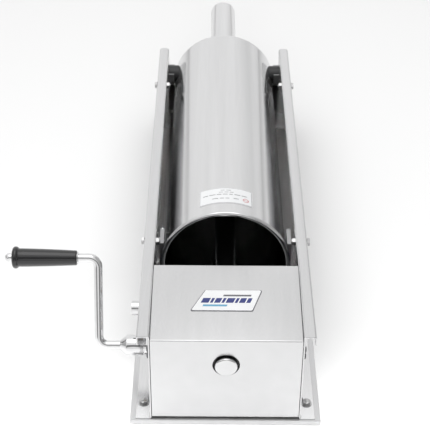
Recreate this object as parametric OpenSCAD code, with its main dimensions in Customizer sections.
// Horizontal two-speed sausage stuffer with a crank-driven rack, seven-litre class.
// The cylinder axis runs along +Y towards the filling tube, +Z is up.
// Positions in the design are taken from the cylinder axis at the plane of the
// cylinder's rear rim; place() then moves everything to the middle of its footprint.

/* [Cylinder] */
// Inner diameter of the meat cylinder
cylinder_bore = 140; // [138:1:141]
// Wall thickness of the cylinder
cylinder_wall = 1.5; // [1.2:0.1:1.6]
// Length of the cylinder with its front cap
cylinder_length = 449; // [445:1:455]
// Outer diameter of the filling tube
nozzle_diameter = 38; // [30:1:40]
// Length of the filling tube in front of the neck
nozzle_length = 199; // [150:1:220]

/* [Frame] */
// Width of the base plate
base_width = 208; // [204:1:216]
// Rear end of the base plate behind the rear rim
base_rear = 172; // [171:1:176]
// Distance between the outer faces of the side walls
wall_span = 164; // [164:1:164]
// Height of the rail tops above the cylinder axis
rail_top = 40; // [38:1:42]
// Height of the rubber feet
foot_height = 6; // [4:1:10]

/* [Gearbox] */
// Height of the cover's top over the axis at its rear edge
cover_rear_top = 34; // [34:1:36]
// Height of the cover's top over the axis at its front edge
cover_front_top = 44.7; // [44:0.1:46]
// Diameter of the hole in the cover that the rod comes out of
rod_hole_diameter = 28.8; // [27:0.1:32]
// Diameter of the rack rod
rod_diameter = 24; // [24:1:24]

/* [Crank] */
// Distance from the shaft's axis to the handle's axis
crank_throw = 98.4; // [80:0.1:110]
// Angle of the crank arm above the horizontal
crank_angle = 66.4; // [20:0.1:120]
// Diameter of the bent crank rod
crank_rod_diameter = 9.6; // [8.6:0.1:10]

/* [Hidden] */

$fn = 64;
eps = 0.02;            // play between pieces that are fixed to each other
run = 0.05;            // radial play of a running fit
cut = 1;               // how far a cutting shape runs past the face it cuts

// Finishes
steel = [0.80, 0.80, 0.81];
dull_steel = [0.66, 0.67, 0.68];
bright_steel = [0.88, 0.88, 0.90];
bronze = [0.72, 0.53, 0.28];
black = [0.10, 0.10, 0.11];
nylon = [0.93, 0.93, 0.90];
white = [0.95, 0.96, 0.97];

// Cylinder and filling tube
bore_r = cylinder_bore / 2;
tube_r = bore_r + cylinder_wall;
cap_thick = 3;
cap_y = cylinder_length - cap_thick;
bead_r = 2.6;
bead_centre_r = tube_r + bead_r - 0.3;
neck_r = 27;
neck_end = cylinder_length + 19;
nozzle_r = nozzle_diameter / 2;
nozzle_wall = 1.2;
nozzle_bore_r = nozzle_r - nozzle_wall;
nozzle_flange_r = neck_r - 1;
gasket_thick = 2;
nozzle_y = neck_end + gasket_thick;
nozzle_tip = nozzle_y + nozzle_length;
nozzle_collar = 7;

// Frame
sheet = 2;
wall_sheet = 1.5;
base_top = -79;
base_under = base_top - sheet;
floor_z = base_under - foot_height;
base_x = base_width / 2;
base_front = 478;
lip_depth = 4;
wall_x = wall_span / 2;
wall_in = wall_x - wall_sheet;
wall_rear = -170;
wall_front = 466;
flange_x = base_x - 6;
rail_size = 12;
rail_in = wall_x;
rail_out = rail_in + rail_size;
rail_bottom = rail_top - rail_size;
rail_wall = 1.5;
rail_corner = 3;
foot_x = 90;
foot_rear_y = -147;
foot_front_y = 450;
foot_r = 9;
bolt_r = 2.5;
bolt_hole_r = 3.2;
screw_r = 2;
screw_hole_r = 2.2;
screw_head_r = 3.6;
screw_head = 2.2;
rail_bolt_z = rail_bottom + rail_size / 2;
rail_bolt_ys = [3, 368];
cross_y = 440;
cross_top = 3;
cross_cut_r = tube_r + 1.2;
tab_z = -50;
tab_xs = [70, 77];
tab_half_h = 10;
tab_y = cross_y + sheet;
tab_hole_r = 1.6;
toe_screw_x = tab_xs[0] - 20;
toe_screw_y = tab_y + 8;

// Rear cradle and front trunnions
cradle_y0 = 8;
cradle_y1 = 38;
cradle_in = tube_r + 0.3;
cradle_out = cradle_in + 5;
cradle_tip = 27;
cradle_mid = (cradle_y0 + cradle_y1) / 2;
pad_x = 24;
pad_screw_x = 15;
trunnion_y = 431;
trunnion_z = 17;
trunnion_r = 6;
trunnion_end = 80.1;
bush_r = 13;
bush_x = [64, 79.9];
saddle_x = [71.9, 79.8];
saddle_out = 15.2;
saddle_leg = 8;

// Gear train: the fast shaft drives the rack, the slow shaft drives the fast one
pressure_angle = 25;
addendum = 0.8;
dedendum = 1.0;
tooth_thinning = 0.08;   // taken off each flank, so the meshes have backlash
rack_module = 2;
rack_pinion_teeth = 12;
rack_pinion_r = rack_module * rack_pinion_teeth / 2;
gear_module = 1.5;
large_gear_teeth = 46;
slow_pinion_teeth = 12;
large_gear_r = gear_module * large_gear_teeth / 2;
slow_pinion_r = gear_module * slow_pinion_teeth / 2;
centre_distance = large_gear_r + slow_pinion_r;
fast_y = -115;
fast_z = -21;
slow_z = 20;
slow_y = fast_y + sqrt(pow(centre_distance, 2) - pow(slow_z - fast_z, 2));
mesh_angle = atan2(slow_z - fast_z, slow_y - fast_y);
pitch_line_z = fast_z + rack_pinion_r;

// Shafts, along X
shaft_r = 7;
crank_end_r = 8.2;
flat_half = 6.8;
slow_outer_r = 6.5;
slow_inner_r = 5;
fast_left = -108;
fast_step = -85.2;
fast_right = 57;
slow_left = -102.6;
slow_step = -94.6;
slow_shoulder = -74;
slow_right = -38;
groove_depth = 0.7;
circlip_thick = 1.2;
fast_circlip_xs = [-84.9, 53];
slow_circlip_xs = [-78.4, -43.9];

// Gearbox
plate_in = 45;
plate_out = 50;
plate_toe = 4;
gearbox_rear = -166;
bulkhead_y = [-61, -53];
bulkhead_mid = (bulkhead_y[0] + bulkhead_y[1]) / 2;
bush_out_r = 9.5;
slow_bush_out_r = 7.5;
wall_bush_out_r = 8.5;
bush_lip = 1.8;
guide_y = [-166, -154];
guide_bush_r = 15;
rod_r = rod_diameter / 2;
gear_x = [-70, -61];
cover_rear = -169.6;
cover_front = -55.7;
cover_bottom = -75.7;
cover_x = 80;
cover_sheet = 1.5;
cover_lip = 10;
cover_slope = atan((cover_front_top - cover_rear_top) / (cover_front - cover_rear));
cover_screw_y = cover_rear + cover_lip / 2;
cover_screw_zs = [-55, 9.5, 18.5];
gearbox_bolt_ys = [-145, -85];
gearbox_bolt_x = 58;
gearbox_bolt_r = 3;
bulkhead_bolt_x = 30;

// Rack rod and piston
rod_rear = -173.9;
piston_rear = 420;
piston_front = 441;
piston_r = bore_r - 0.7;
gasket_y = [427, 434];
gasket_seat_r = 66;
stub_r = 7;
stub_end = 440;
recess_y = 433;
recess_r = 14;
rack_start_tooth = -2;
rack_teeth = 76;
rack_pitch = PI * rack_module;
valve_z = 45;
valve_r = 3;
valve_head_r = 6;

// Crank
hub_x = [-116, -108.4, -90.2, -85.4];
hub_r = 11.3;
arm_x = -139.2;
bend_r = 10;
crank_rod_r = crank_rod_diameter / 2;
spindle_r = 4;
spindle_shoulder = -160.6;
spindle_end = -237.5;
thread_start = -231.9;
thread_r = 3;
grip_x = [-231.6, -161.8];
grip_nut_end = -240;
handle_y = fast_y + crank_throw * cos(crank_angle);
handle_z = fast_z + crank_throw * sin(crank_angle);

// Footprint of the whole stuffer, whose middle is the part's origin
mid_x = (grip_nut_end + base_x) / 2;
mid_y = (rod_rear + nozzle_tip) / 2;

// ---- placing ----------------------------------------------------------

module place(colour) {
    color(colour)
        translate([-mid_x, -mid_y, -floor_z])
            children();
}

module box(x, y, z) {
    translate([x[0], y[0], z[0]])
        cube([x[1] - x[0], y[1] - y[0], z[1] - z[0]]);
}

// A straight round bar along X, Y or Z
module bar_x(x, r, y = 0, z = 0) {
    translate([x[0], y, z])
        rotate([0, 90, 0])
            cylinder(r = r, h = x[1] - x[0]);
}

module bar_y(y, r, x = 0, z = 0) {
    translate([x, y[0], z])
        rotate([-90, 0, 0])
            cylinder(r = r, h = y[1] - y[0]);
}

module bar_z(z, r, x = 0, y = 0) {
    translate([x, y, z[0]])
        cylinder(r = r, h = z[1] - z[0]);
}

// A ring along X or Y
module ring_x(x, inner, outer, y = 0, z = 0) {
    difference() {
        bar_x(x, outer, y, z);
        bar_x([x[0] - cut, x[1] + cut], inner, y, z);
    }
}

module ring_y(y, inner, outer, x = 0, z = 0) {
    difference() {
        bar_y(y, outer, x, z);
        bar_y([y[0] - cut, y[1] + cut], inner, x, z);
    }
}

// Outlines drawn in the plane of the other two axes, extruded along X or Y
module extrude_x(x) {
    translate([x[0], 0, 0])
        rotate([90, 0, 90])
            linear_extrude(x[1] - x[0])
                children();
}

module extrude_y(y) {
    translate([0, y[1], 0])
        rotate([90, 0, 0])
            linear_extrude(y[1] - y[0])
                children();
}

// Outlines of [radius, distance along the axis], turned round X or Y
module turn_x(y = 0, z = 0) {
    translate([0, y, z])
        rotate([0, 90, 0])
            rotate_extrude()
                children();
}

module turn_y() {
    rotate([-90, 0, 0])
        rotate_extrude()
            children();
}

module both_sides() {
    children();
    mirror([1, 0, 0])
        children();
}

// ---- gear outlines ------------------------------------------------------

function degrees(arc, r) = arc / r * 180 / PI;
function involute_angle(q, base) =
    q <= base ? 0 : let (a = acos(base / q)) tan(a) * 180 / PI - a;
// Half the angle of a tooth at radius q
function tooth_half(q, m, teeth) =
    let (r = m * teeth / 2, base = r * cos(pressure_angle))
    90 / teeth - degrees(tooth_thinning, r) + involute_angle(r, base) - involute_angle(q, base);
function polar(r, a) = [r * cos(a), r * sin(a)];
flank_steps = 4;

// A tooth's centre lies at angle first
module gear_outline(m, teeth, first) {
    r = m * teeth / 2;
    root = r - dedendum * m;
    tip = r + addendum * m;
    flank = [for (i = [0:flank_steps]) root + (tip - root) * i / flank_steps];
    polygon([
        for (k = [0:teeth - 1])
            for (side = [-1, 1])
                for (i = [0:flank_steps])
                    let (q = flank[side < 0 ? i : flank_steps - i])
                    polar(q, first + 360 * k / teeth + side * tooth_half(q, m, teeth))
    ]);
}

// The air below the rack's teeth, in Y and Z
module rack_gaps() {
    tip = pitch_line_z - addendum * rack_module;
    root = pitch_line_z + dedendum * rack_module;
    half = rack_pitch / 4 - tooth_thinning;
    at_tip = half - addendum * rack_module * tan(pressure_angle);
    at_root = half + dedendum * rack_module * tan(pressure_angle);
    start = fast_y + (rack_start_tooth + 0.5) * rack_pitch;
    finish = start + (rack_teeth - 1) * rack_pitch;
    polygon(concat(
        [[start - rack_pitch / 2, -rod_r - cut]],
        [for (k = [0:rack_teeth - 1])
            for (p = [[-at_root, root], [-at_tip, tip], [at_tip, tip], [at_root, root]])
                [start + k * rack_pitch + p[0], p[1]]],
        [[finish + rack_pitch / 2, -rod_r - cut]]
    ));
}

// ---- fasteners ----------------------------------------------------------

// A hexagon-head bolt whose head stands on z = 0 and whose shank hangs below
module hex_bolt(r, across, head, length, washer = 0) {
    translate([0, 0, washer])
        cylinder(r = across / sqrt(3), h = head, $fn = 6);
    translate([0, 0, -length])
        cylinder(r = r, h = length + washer + head / 2);
    if (washer > 0)
        cylinder(r = across * 0.72, h = washer);
}

// A pan-head screw with a cross recess
module pan_screw(r, head_r, head, length) {
    difference() {
        union() {
            cylinder(r = head_r, h = head * 0.6);
            cylinder(r = head_r * 0.8, h = head);
            translate([0, 0, -length])
                cylinder(r = r, h = length + head / 2);
        }
        for (turn = [0, 90])
            rotate([0, 0, turn])
                translate([-head_r * 0.55, -head_r * 0.12, head * 0.5])
                    cube([head_r * 1.1, head_r * 0.24, head]);
    }
}

// ---- frame --------------------------------------------------------------

module base_plate() {
    place(steel) difference() {
        box([-base_x, base_x], [-base_rear, base_front], [base_under - lip_depth, base_top]);
        box([sheet - base_x, base_x - sheet], [sheet - base_rear, base_front - sheet],
            [base_under - lip_depth - cut, base_under]);
        both_sides()
            for (y = [foot_rear_y, foot_front_y])
                bar_z([base_under - cut, base_top + cut], bolt_r + 0.3, foot_x, y);
        both_sides() {
            bar_z([base_under - cut, base_top + cut], screw_hole_r, pad_screw_x, cradle_mid);
            for (y = gearbox_bolt_ys)
                bar_z([base_under - cut, base_top + cut], bolt_hole_r, gearbox_bolt_x, y);
            bar_z([base_under - cut, base_top + cut], bolt_hole_r, bulkhead_bolt_x,
                bulkhead_mid);
            bar_z([base_under - cut, base_top + cut], screw_hole_r, toe_screw_x, toe_screw_y);
        }
    }
}

// Only the left wall has holes for the shafts
module side_wall(side) {
    difference() {
        scale([side, 1, 1]) difference() {
            union() {
                box([wall_in, wall_x], [wall_rear, wall_front], [base_top, rail_top - 0.5]);
                box([wall_x - 0.1, flange_x], [wall_rear, wall_front],
                    [base_top, base_top + wall_sheet]);
                box([tab_xs[0] - 6, wall_in + 0.1], [tab_y, tab_y + wall_sheet],
                    [tab_z - tab_half_h, tab_z + tab_half_h]);
            }
            for (y = [foot_rear_y, foot_front_y])
                bar_z([base_top - cut, base_top + wall_sheet + cut], bolt_r + 0.3, foot_x, y);
            for (y = rail_bolt_ys)
                bar_x([wall_in - cut, wall_x + cut], bolt_r + 0.1, y, rail_bolt_z);
            for (z = cover_screw_zs)
                bar_x([wall_in - cut, wall_x + cut], screw_hole_r, cover_screw_y, z);
            for (x = tab_xs)
                bar_y([tab_y - cut, tab_y + wall_sheet + cut], tab_hole_r, x, tab_z);
        }
        if (side < 0) {
            bar_x([-wall_x - cut, -wall_in + cut], bush_out_r, fast_y, fast_z);
            bar_x([-wall_x - cut, -wall_in + cut], wall_bush_out_r, slow_y, slow_z);
        }
    }
}

module left_side_wall() {
    place(steel) side_wall(-1);
}

module right_side_wall() {
    place(steel) side_wall(1);
}

// Outline of a rail with rounded top edges, centred on x = 0, top at z = 0
module rail_outline(grow) {
    half = rail_size / 2 + grow;
    corner = rail_corner + grow;
    translate([-half, -rail_size - grow])
        square([2 * half, 2 * half - corner]);
    translate([corner - half, grow - corner])
        square([2 * (half - corner), corner]);
    for (s = [-1, 1])
        translate([s * (half - corner), grow - corner])
            circle(r = corner);
}

// A rail of folded sheet, open below and at the rear, with a half-round front end
module top_rail(side) {
    scale([side, 1, 1]) difference() {
        union() {
            translate([rail_in + rail_size / 2, 0, rail_top])
                extrude_y([wall_rear, wall_front])
                    rail_outline(0);
            translate([rail_in + rail_size / 2, wall_front, rail_bottom])
                rotate_extrude()
                    intersection() {
                        translate([0, rail_size])
                            rail_outline(0);
                        square([rail_size, rail_size]);
                    }
        }
        translate([rail_in + rail_size / 2, 0, rail_top])
            extrude_y([wall_rear - cut, wall_front - rail_wall])
                rail_outline(-rail_wall);
        box([rail_in + rail_wall, rail_out - rail_wall], [wall_rear - cut, wall_front - rail_wall],
            [rail_bottom - cut, rail_bottom + 2 * rail_wall]);
        for (y = rail_bolt_ys)
            bar_x([rail_in - cut, rail_out + cut], bolt_r + 0.1, y, rail_bolt_z);
    }
}

module left_top_rail() {
    place(steel) top_rail(-1);
}

module right_top_rail() {
    place(steel) top_rail(1);
}

rail_bolt_head = 3.2;
rail_nut_thick = 4;

module rail_bolts() {
    place(bright_steel) both_sides()
        for (y = rail_bolt_ys)
            translate([rail_out, y, rail_bolt_z])
                rotate([0, 90, 0])
                    hex_bolt(bolt_r, 8, rail_bolt_head, rail_size + wall_sheet + rail_nut_thick);
}

module rail_nuts() {
    place(bright_steel) both_sides()
        for (y = rail_bolt_ys)
            difference() {
                translate([wall_in - rail_nut_thick, y, rail_bolt_z])
                    rotate([0, 90, 0])
                        cylinder(r = 8 / sqrt(3), h = rail_nut_thick, $fn = 6);
                bar_x([wall_in - rail_nut_thick - cut, wall_in + cut], bolt_r + eps, y,
                    rail_bolt_z);
            }
}

// Upright sheet between the walls, cut out round the cylinder, with a foot flange
module front_cross_plate() {
    place(black) difference() {
        union() {
            extrude_y([cross_y, tab_y])
                difference() {
                    translate([eps - wall_in, base_top])
                        square([2 * (wall_in - eps), cross_top - base_top]);
                    circle(r = cross_cut_r);
                }
            box([10 - tab_xs[0], tab_xs[0] - 10], [tab_y - 0.1, 2 * toe_screw_y - tab_y],
                [base_top, base_top + wall_sheet]);
        }
        both_sides() {
            for (x = tab_xs)
                bar_y([cross_y - cut, tab_y + cut], tab_hole_r, x, tab_z);
            bar_z([base_top - cut, base_top + wall_sheet + cut], screw_hole_r, toe_screw_x,
                toe_screw_y);
        }
    }
}

module cross_plate_screws() {
    place(bright_steel) both_sides() {
        for (x = tab_xs)
            translate([x, cross_y, tab_z])
                rotate([90, 0, 0])
                    pan_screw(1.5, 2.8, 1.8, 5.5);
        translate([toe_screw_x, toe_screw_y, base_top + wall_sheet])
            pan_screw(screw_r, screw_head_r, screw_head, 5);
    }
}

// Half-round band under the cylinder with upright tips and a pad on the base
module rear_cradle() {
    place(steel) difference() {
        union() {
            extrude_y([cradle_y0, cradle_y1])
                difference() {
                    union() {
                        circle(r = cradle_out);
                        translate([-cradle_out, 0])
                            square([2 * cradle_out, cradle_tip]);
                    }
                    circle(r = cradle_in);
                    translate([-cradle_in, 0])
                        square([2 * cradle_in, cradle_out + cut]);
                }
            extrude_y([cradle_y0 + 2, cradle_y1 - 2])
                difference() {
                    translate([-pad_x, base_top])
                        square([2 * pad_x, 9]);
                    circle(r = cradle_in);
                }
        }
        both_sides()
            bar_z([base_top - cut, base_top + 6], screw_r - 0.05, pad_screw_x, cradle_mid);
    }
}

module cradle_screws() {
    place(bright_steel) both_sides()
        translate([pad_screw_x, cradle_mid, base_under])
            rotate([180, 0, 0])
                pan_screw(screw_r - 0.1, screw_head_r, screw_head, sheet + 5.5);
}

// U strip that holds the trunnion's bush from below; its front half reaches the wall
module trunnion_saddle(side) {
    scale([side, 1, 1]) difference() {
        extrude_x([saddle_x[0], wall_in])
            translate([trunnion_y, trunnion_z])
                difference() {
                    union() {
                        circle(r = saddle_out);
                        translate([-saddle_out, 0])
                            square([2 * saddle_out, saddle_leg]);
                    }
                    circle(r = bush_r + eps);
                    translate([-bush_r - eps, 0])
                        square([2 * (bush_r + eps), saddle_out + cut]);
                }
        box([saddle_x[1], wall_in + cut], [trunnion_y - saddle_out - cut, trunnion_y],
            [trunnion_z - saddle_out - cut, trunnion_z + saddle_out]);
    }
}

module left_trunnion_saddle() {
    place(steel) trunnion_saddle(-1);
}

module right_trunnion_saddle() {
    place(steel) trunnion_saddle(1);
}

// Rubber foot under the base plate, with a blind hole for its bolt
module rubber_foot(side, y) {
    place(black)
        translate([side * foot_x, y, floor_z])
            difference() {
                union() {
                    cylinder(r1 = foot_r - 1, r2 = foot_r, h = foot_height * 0.4, $fn = 48);
                    translate([0, 0, foot_height * 0.4])
                        cylinder(r = foot_r, h = foot_height * 0.6);
                }
                translate([0, 0, 1.5])
                    cylinder(r = bolt_r + eps, h = foot_height);
            }
}

module rear_left_foot() { rubber_foot(-1, foot_rear_y); }

module rear_right_foot() { rubber_foot(1, foot_rear_y); }

module front_left_foot() { rubber_foot(-1, foot_front_y); }

module front_right_foot() { rubber_foot(1, foot_front_y); }

module foot_bolts() {
    place(bright_steel) both_sides()
        for (y = [foot_rear_y, foot_front_y])
            translate([foot_x, y, base_top + wall_sheet])
                rotate([0, 0, 20])
                    hex_bolt(bolt_r, 8, 3.6, wall_sheet + sheet + foot_height - 2, 1);
}

// ---- gearbox ------------------------------------------------------------

// Bearing plate with a foot flange; only the left one carries the slow shaft
module gearbox_plate(side) {
    difference() {
        scale([side, 1, 1]) difference() {
            union() {
                box([plate_in, plate_out], [gearbox_rear, bulkhead_y[0]], [base_top, 30]);
                box([plate_out - 0.1, plate_out + 15], [gearbox_rear + 8, bulkhead_y[0] - 10],
                    [base_top, base_top + plate_toe]);
            }
            for (y = gearbox_bolt_ys)
                bar_z([base_top - cut, base_top + plate_toe + cut], bolt_hole_r, gearbox_bolt_x,
                    y);
            bar_x([plate_in - cut, plate_out + cut], bush_out_r, fast_y, fast_z);
        }
        if (side < 0)
            bar_x([-plate_out - cut, cut - plate_in], slow_bush_out_r, slow_y, slow_z);
    }
}

module gearbox_left_plate() {
    place(dull_steel) gearbox_plate(-1);
}

module gearbox_right_plate() {
    place(dull_steel) gearbox_plate(1);
}

// Front wall of the gearbox, which guides the rod
module gearbox_bulkhead() {
    place(dull_steel) difference() {
        box([-78, 78], bulkhead_y, [base_top, 34]);
        bar_y([bulkhead_y[0] - cut, bulkhead_y[1] + cut], guide_bush_r);
        both_sides()
            bar_z([base_top - cut, base_top + 11], gearbox_bolt_r + 0.05, bulkhead_bolt_x,
                bulkhead_mid);
    }
}

module rear_guide_block() {
    place(dull_steel) difference() {
        box([eps - plate_in, plate_in - eps], guide_y, [-26, 26]);
        bar_y([guide_y[0] - cut, guide_y[1] + cut], guide_bush_r);
    }
}

module gearbox_bolts() {
    place(bright_steel) both_sides() {
        for (y = gearbox_bolt_ys)
            translate([gearbox_bolt_x, y, base_top + plate_toe])
                hex_bolt(gearbox_bolt_r, 10, 4, plate_toe + sheet + 1);
        translate([bulkhead_bolt_x, bulkhead_mid, base_under])
            rotate([180, 0, 0])
                hex_bolt(gearbox_bolt_r, 10, 3.6, sheet + 10);
    }
}

// Plain bush with a flange, for the rod
module rod_bush(y, flange_y) {
    difference() {
        union() {
            bar_y(y, guide_bush_r - eps);
            bar_y(flange_y, guide_bush_r + 3);
        }
        bar_y([-200, 0], rod_r + run);
    }
}

module rod_front_bush() {
    place(black) rod_bush(bulkhead_y, [bulkhead_y[1], bulkhead_y[1] + 2]);
}

module rod_rear_bush() {
    place(black) rod_bush(guide_y, [guide_y[1], guide_y[1] + 2]);
}

// Flanged bush for a shaft: barrel and flange are spans along X
module shaft_bush(barrel, flange, inner, outer, y, z) {
    difference() {
        union() {
            bar_x(barrel, outer - eps, y, z);
            bar_x(flange, outer + bush_lip, y, z);
        }
        bar_x([min(barrel[0], flange[0]) - cut, max(barrel[1], flange[1]) + cut], inner + run,
            y, z);
    }
}

module fast_left_bush() {
    place(bronze) shaft_bush([-plate_out, -plate_in], [-plate_out - 2.5, -plate_out], shaft_r,
        bush_out_r, fast_y, fast_z);
}

module fast_right_bush() {
    place(bronze) shaft_bush([plate_in, plate_out], [plate_out, plate_out + 2.5], shaft_r,
        bush_out_r, fast_y, fast_z);
}

module fast_wall_bush() {
    place(bronze) shaft_bush([-wall_x, 5 - wall_x], [-wall_x - 1.6, -wall_x], shaft_r,
        bush_out_r, fast_y, fast_z);
}

module slow_inner_bush() {
    place(bronze) shaft_bush([-plate_out, -plate_in], [-plate_out - 2.5, -plate_out],
        slow_inner_r, slow_bush_out_r, slow_y, slow_z);
}

module slow_wall_bush() {
    place(bronze) shaft_bush([-wall_x, -wall_in], [-wall_in, 2 - wall_in], slow_outer_r,
        wall_bush_out_r, slow_y, slow_z);
}

function cover_z(y, drop) =
    cover_rear_top + (y - cover_rear) * tan(cover_slope) - drop;

// Side outline of a band that follows the cover's rear and top faces
module cover_band(depth) {
    polygon([
        [cover_rear, cover_bottom],
        [cover_rear, cover_rear_top],
        [cover_front, cover_front_top],
        [cover_front, cover_z(cover_front, depth)],
        [cover_rear + depth, cover_z(cover_rear + depth, depth)],
        [cover_rear + depth, cover_bottom]
    ]);
}

// Folded sheet over the gearbox: rear and sloping top, with side lips
module gearbox_cover() {
    place(steel) difference() {
        union() {
            extrude_x([-cover_x, cover_x])
                cover_band(cover_sheet);
            both_sides()
                extrude_x([cover_x - cover_sheet, cover_x])
                    cover_band(cover_lip);
        }
        bar_y([cover_rear - cut, cover_rear + cover_sheet + cut], rod_hole_diameter / 2);
        both_sides()
            for (z = cover_screw_zs)
                bar_x([cover_x - cover_sheet - cut, cover_x + cut], screw_hole_r, cover_screw_y,
                    z);
    }
}

module cover_screws() {
    place(bright_steel) both_sides()
        for (z = cover_screw_zs)
            translate([wall_x, cover_screw_y, z])
                rotate([0, 90, 0])
                    pan_screw(screw_r, screw_head_r, screw_head, 7);
}

// Slanted name plate on the cover's top, without a name
module badge_plate() {
    badge_rear = 43.5;
    badge_front = 74.8;
    place(white)
        translate([0, cover_rear, cover_rear_top])
            rotate([cover_slope, 0, 0])
                translate([0, 0, eps / 2])
                    linear_extrude(0.8)
                        polygon([
                            [-38.7, badge_rear], [28.4, badge_rear], [38.8, badge_front - 3],
                            [37.5, badge_front], [-23, badge_front]
                        ]);
}

// ---- cylinder -----------------------------------------------------------

// Open-ended tube with a rolled bead round its rear rim
module cylinder_tube() {
    place(bright_steel) union() {
        ring_y([0, cap_y], bore_r, tube_r);
        turn_y()
            translate([bead_centre_r, bead_r])
                circle(r = bead_r, $fn = 24);
    }
}

// Welded front end with the threaded neck
module cylinder_front_cap() {
    place(bright_steel) difference() {
        union() {
            bar_y([cap_y, cylinder_length], tube_r);
            bar_y([cylinder_length, cylinder_length + 4], neck_r + 5);
            bar_y([cylinder_length, neck_end], neck_r);
        }
        bar_y([cap_y - cut, neck_end + cut], nozzle_bore_r + 0.7);
    }
}

// Pin welded to the tube
module trunnion(side) {
    trunnion_inset = 9;
    scale([side, 1, 1]) difference() {
        bar_x([tube_r - trunnion_inset, trunnion_end], trunnion_r, trunnion_y, trunnion_z);
        bar_y([trunnion_y - saddle_out, trunnion_y + saddle_out], tube_r + eps, $fn = 240);
    }
}

module left_trunnion() {
    place(bright_steel) trunnion(-1);
}

module right_trunnion() {
    place(bright_steel) trunnion(1);
}

module trunnion_bushes() {
    place(black) both_sides()
        difference() {
            ring_x(bush_x, trunnion_r + run, bush_r, trunnion_y, trunnion_z);
            bar_y([trunnion_y - saddle_out, trunnion_y + saddle_out], tube_r + eps, $fn = 240);
        }
}

// Thin sheet stuck on top of the tube
module tube_label() {
    label_half = 25.6;
    place(white)
        rotate([-90, 0, 0])
            rotate([0, 0, -90 - label_half])
                rotate_extrude(angle = 2 * label_half)
                    translate([tube_r + eps / 2, 27])
                        square([0.2, 31]);
}

module nozzle_gasket() {
    place(white) ring_y([neck_end, nozzle_y], nozzle_bore_r + 0.7, nozzle_flange_r);
}

module nozzle() {
    place(bright_steel) difference() {
        union() {
            bar_y([nozzle_y, nozzle_y + 2], nozzle_flange_r);
            bar_y([nozzle_y, nozzle_y + nozzle_collar], nozzle_r + 0.3);
            bar_y([nozzle_y, nozzle_tip], nozzle_r);
        }
        bar_y([nozzle_y - cut, nozzle_tip + cut], nozzle_bore_r);
    }
}

// Clamps the filling tube's flange to the neck
module nozzle_ring_nut() {
    place(bright_steel) difference() {
        bar_y([cylinder_length + 5, nozzle_y + 6], neck_r + 7);
        bar_y([cylinder_length, nozzle_y + 2 + eps], neck_r + eps);
        bar_y([nozzle_y, nozzle_y + 10], nozzle_r + 0.4);
        for (turn = [0:45:315])
            rotate([0, turn, 0])
                bar_y([cylinder_length, nozzle_y + 10], 4, neck_r + 9, 0);
    }
}

// ---- rod and piston -----------------------------------------------------

module rack_rod() {
    round_r = 2;
    place(bright_steel) difference() {
        turn_y() {
            translate([0, rod_rear])
                square([rod_r - round_r, round_r]);
            translate([0, rod_rear + round_r])
                square([rod_r, piston_rear - rod_rear - round_r]);
            intersection() {
                translate([rod_r - round_r, rod_rear + round_r])
                    circle(r = round_r, $fn = 24);
                translate([0, rod_rear])
                    square([rod_r, rod_r]);
            }
            translate([0, piston_rear])
                square([stub_r, stub_end - piston_rear]);
        }
        extrude_x([-rod_r - cut, rod_r + cut])
            rack_gaps();
    }
}

module piston_disc() {
    place(nylon) difference() {
        bar_y([piston_rear, piston_front], piston_r);
        ring_y(gasket_y, gasket_seat_r, bore_r + 5);
        bar_y([piston_rear - cut, piston_front + cut], stub_r + eps);
        bar_y([recess_y, piston_front + cut], recess_r);
        bar_y([piston_rear - cut, piston_front + cut], valve_r + run, 0, valve_z);
        bar_y([piston_front - 3, piston_front + cut], valve_head_r + 0.5, 0, valve_z);
    }
}

module piston_gasket() {
    place(black) ring_y([gasket_y[0] + run, gasket_y[1] - run], gasket_seat_r + eps,
        bore_r - 0.08);
}

module piston_nut() {
    place(bright_steel) difference() {
        translate([0, recess_y, 0])
            rotate([-90, 0, 0])
                cylinder(r = 22 / sqrt(3), h = 6, $fn = 6);
        bar_y([recess_y - cut, recess_y + 7], stub_r + eps);
    }
}

// Poppet that lets trapped air out; its head sits in the piston's front face
module air_valve_stem() {
    place(bright_steel) {
        bar_y([piston_rear - 13, piston_front - 2], valve_r, 0, valve_z);
        bar_y([piston_front - 3 + eps, piston_front - 0.5], valve_head_r, 0, valve_z);
        bar_y([piston_rear - 14, piston_rear - 12], valve_head_r, 0, valve_z);
    }
}

// Closed coils of the valve's return spring
module air_valve_spring() {
    wire_r = 0.5;
    coils = 6;
    pitch = 1.75;
    place(dull_steel)
        translate([0, piston_rear - 12 + 2 * wire_r, valve_z])
            for (k = [0:coils - 1])
                translate([0, k * pitch, 0])
                    turn_y()
                        translate([valve_r + 1.2, 0])
                            circle(r = wire_r, $fn = 16);
}

// ---- shafts and gears ---------------------------------------------------

module circlip_groove(x, r, y, z) {
    ring_x([x, x + circlip_thick + 0.2], r - groove_depth, r + cut, y, z);
}

module circlip(x, r, y, z) {
    translate([x + 0.1, y, z])
        rotate([0, 90, 0])
            rotate_extrude(angle = 310)
                translate([r - groove_depth + run, 0])
                    square([2.8, circlip_thick]);
}

// The end of a shaft that takes the crank: two flats, in line with the crank arm
module flatted_end(x, play, y, z) {
    side = 2 * (crank_end_r + cut);
    half = flat_half + play;
    intersection() {
        bar_x(x, crank_end_r + play, y, z);
        translate([0, y, z])
            rotate([crank_angle, 0, 0])
                translate([x[0] - cut, -half, -side / 2])
                    cube([x[1] - x[0] + 2 * cut, 2 * half, side]);
    }
}

module fast_shaft() {
    place(bright_steel) difference() {
        union() {
            flatted_end([fast_left, fast_step], 0, fast_y, fast_z);
            bar_x([fast_step - 0.1, fast_right], shaft_r, fast_y, fast_z);
        }
        for (x = fast_circlip_xs)
            circlip_groove(x, shaft_r, fast_y, fast_z);
    }
}

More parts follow.
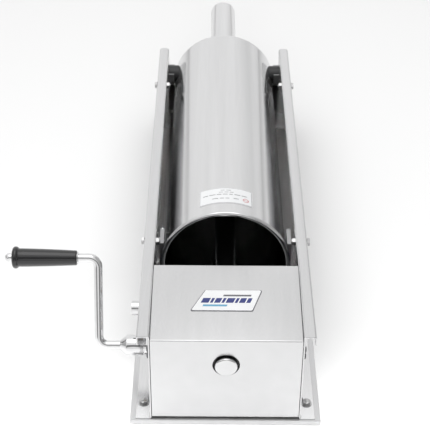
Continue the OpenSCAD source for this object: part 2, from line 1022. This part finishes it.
// Hub round the shaft and toothed part, both bored through
module gear(m, teeth, x, first, hub_x, hub_radius, bore, y, z) {
    difference() {
        union() {
            translate([0, y, z])
                extrude_x(x)
                    gear_outline(m, teeth, first);
            bar_x(hub_x, hub_radius, y, z);
        }
        bar_x([min(x[0], hub_x[0]) - cut, max(x[1], hub_x[1]) + cut], bore + eps, y, z);
    }
}

module rack_pinion() {
    place(dull_steel) gear(rack_module, rack_pinion_teeth, [-9, 9], 90, [8, 16], 9.4, shaft_r,
        fast_y, fast_z);
}

// A gap between two teeth faces the slow pinion
module large_gear() {
    place(dull_steel) gear(gear_module, large_gear_teeth, gear_x,
        mesh_angle + 180 / large_gear_teeth, [gear_x[1] - 1, gear_x[1] + 7], 13, shaft_r,
        fast_y, fast_z);
}

module fast_circlips() {
    place(dull_steel)
        for (x = fast_circlip_xs)
            circlip(x, shaft_r, fast_y, fast_z);
}

module slow_shaft() {
    place(bright_steel) difference() {
        union() {
            flatted_end([slow_left, slow_step], 0, slow_y, slow_z);
            bar_x([slow_step - 0.5, slow_shoulder], slow_outer_r, slow_y, slow_z);
            bar_x([slow_shoulder - 0.5, slow_right], slow_inner_r, slow_y, slow_z);
        }
        circlip_groove(slow_circlip_xs[0], slow_outer_r, slow_y, slow_z);
        circlip_groove(slow_circlip_xs[1], slow_inner_r, slow_y, slow_z);
    }
}

module slow_pinion() {
    place(dull_steel) gear(gear_module, slow_pinion_teeth, [gear_x[0] - 1, gear_x[1] + 1],
        mesh_angle + 180, [gear_x[1], gear_x[1] + 5], 7.2, slow_inner_r, slow_y, slow_z);
}

module slow_circlips() {
    place(dull_steel) {
        circlip(slow_circlip_xs[0], slow_outer_r, slow_y, slow_z);
        circlip(slow_circlip_xs[1], slow_inner_r, slow_y, slow_z);
    }
}

// ---- crank --------------------------------------------------------------

// Machined hub with a collar, a cone and a bore that matches the shaft's flats
module crank_hub() {
    place(bright_steel) difference() {
        turn_x(fast_y, fast_z)
            polygon([
                [0, hub_x[0]], [crank_rod_r + 0.6, hub_x[0]], [hub_r - 0.6, hub_x[1] - 1],
                [hub_r, hub_x[1]], [hub_r, hub_x[2] - 0.6], [hub_r - 0.8, hub_x[2]],
                [hub_r - 0.8, hub_x[2] + 0.6], [hub_r + 0.3, hub_x[2] + 1],
                [hub_r + 0.3, hub_x[3] - 0.4], [hub_r - 0.2, hub_x[3]], [0, hub_x[3]]
            ]);
        flatted_end([fast_left - 0.5, hub_x[3] + cut], eps, fast_y, fast_z);
    }
}

// In the crank's own plane: x is along the shaft, y runs out along the arm
module crank_plane() {
    translate([0, fast_y, fast_z])
        rotate([crank_angle, 0, 0])
            children();
}

module elbow(start) {
    rotate([0, 0, start])
        rotate_extrude(angle = 90)
            translate([bend_r, 0])
                circle(r = crank_rod_r, $fn = 32);
}

// Round rod with two right-angle bends; its outer end carries the grip
module crank_arm() {
    place(bright_steel) crank_plane() union() {
        bar_x([arm_x + bend_r, hub_x[0]], crank_rod_r);
        translate([arm_x + bend_r, bend_r, 0])
            elbow(180);
        bar_y([bend_r, crank_throw - bend_r], crank_rod_r, arm_x);
        translate([arm_x - bend_r, crank_throw - bend_r, 0])
            elbow(0);
        bar_x([spindle_shoulder, arm_x - bend_r], crank_rod_r, crank_throw, 0);
        bar_x([thread_start, spindle_shoulder], spindle_r, crank_throw, 0);
        bar_x([spindle_end, thread_start], thread_r, crank_throw, 0);
    }
}

module grip_washer() {
    place(bright_steel) ring_x([grip_x[1] + 0.1, spindle_shoulder - 0.02], spindle_r + eps, 6.6,
        handle_y, handle_z);
}

module grip_cap_nut() {
    dome_r = 4.7;
    place(bright_steel) difference() {
        turn_x(handle_y, handle_z) {
            translate([0, grip_nut_end + dome_r])
                square([dome_r, thread_start - grip_nut_end - dome_r]);
            intersection() {
                translate([0, grip_nut_end + dome_r])
                    circle(r = dome_r);
                translate([0, grip_nut_end])
                    square([dome_r, dome_r]);
            }
        }
        bar_x([spindle_end - 0.2, thread_start + cut], thread_r + eps, handle_y, handle_z);
    }
}

// Tapered plastic grip with a rounded flange at its outer end
module crank_grip() {
    flange_r = 12.2;
    inner_end_r = 8.2;
    outer_end_r = 10.1;
    flange_thick = 7;
    place(black) difference() {
        turn_x(handle_y, handle_z) {
            polygon([
                [0, grip_x[0] + 1.2], [outer_end_r, grip_x[0] + 1.2],
                [outer_end_r, grip_x[0] + flange_thick + 1],
                [inner_end_r, grip_x[1] - 1], [inner_end_r - 1, grip_x[1]], [0, grip_x[1]]
            ]);
            translate([0, grip_x[0]])
                square([flange_r - flange_thick / 2, flange_thick]);
            translate([flange_r - flange_thick / 2, grip_x[0] + flange_thick / 2])
                circle(r = flange_thick / 2, $fn = 32);
        }
        bar_x([grip_x[0] - cut, grip_x[1] + cut], spindle_r + run + 0.03, handle_y, handle_z);
    }
}

base_plate();
left_side_wall();
right_side_wall();
left_top_rail();
right_top_rail();
rail_bolts();
rail_nuts();
front_cross_plate();
cross_plate_screws();
rear_cradle();
cradle_screws();
left_trunnion_saddle();
right_trunnion_saddle();
rear_left_foot();
rear_right_foot();
front_left_foot();
front_right_foot();
foot_bolts();
gearbox_left_plate();
gearbox_right_plate();
gearbox_bulkhead();
rear_guide_block();
gearbox_bolts();
rod_front_bush();
rod_rear_bush();
fast_left_bush();
fast_right_bush();
fast_wall_bush();
slow_inner_bush();
slow_wall_bush();
gearbox_cover();
cover_screws();
badge_plate();
cylinder_tube();
cylinder_front_cap();
left_trunnion();
right_trunnion();
trunnion_bushes();
tube_label();
nozzle_gasket();
nozzle();
nozzle_ring_nut();
rack_rod();
piston_disc();
piston_gasket();
piston_nut();
air_valve_stem();
air_valve_spring();
fast_shaft();
rack_pinion();
large_gear();
fast_circlips();
crank_hub();
crank_arm();
grip_washer();
grip_cap_nut();
crank_grip();
slow_shaft();
slow_pinion();
slow_circlips();
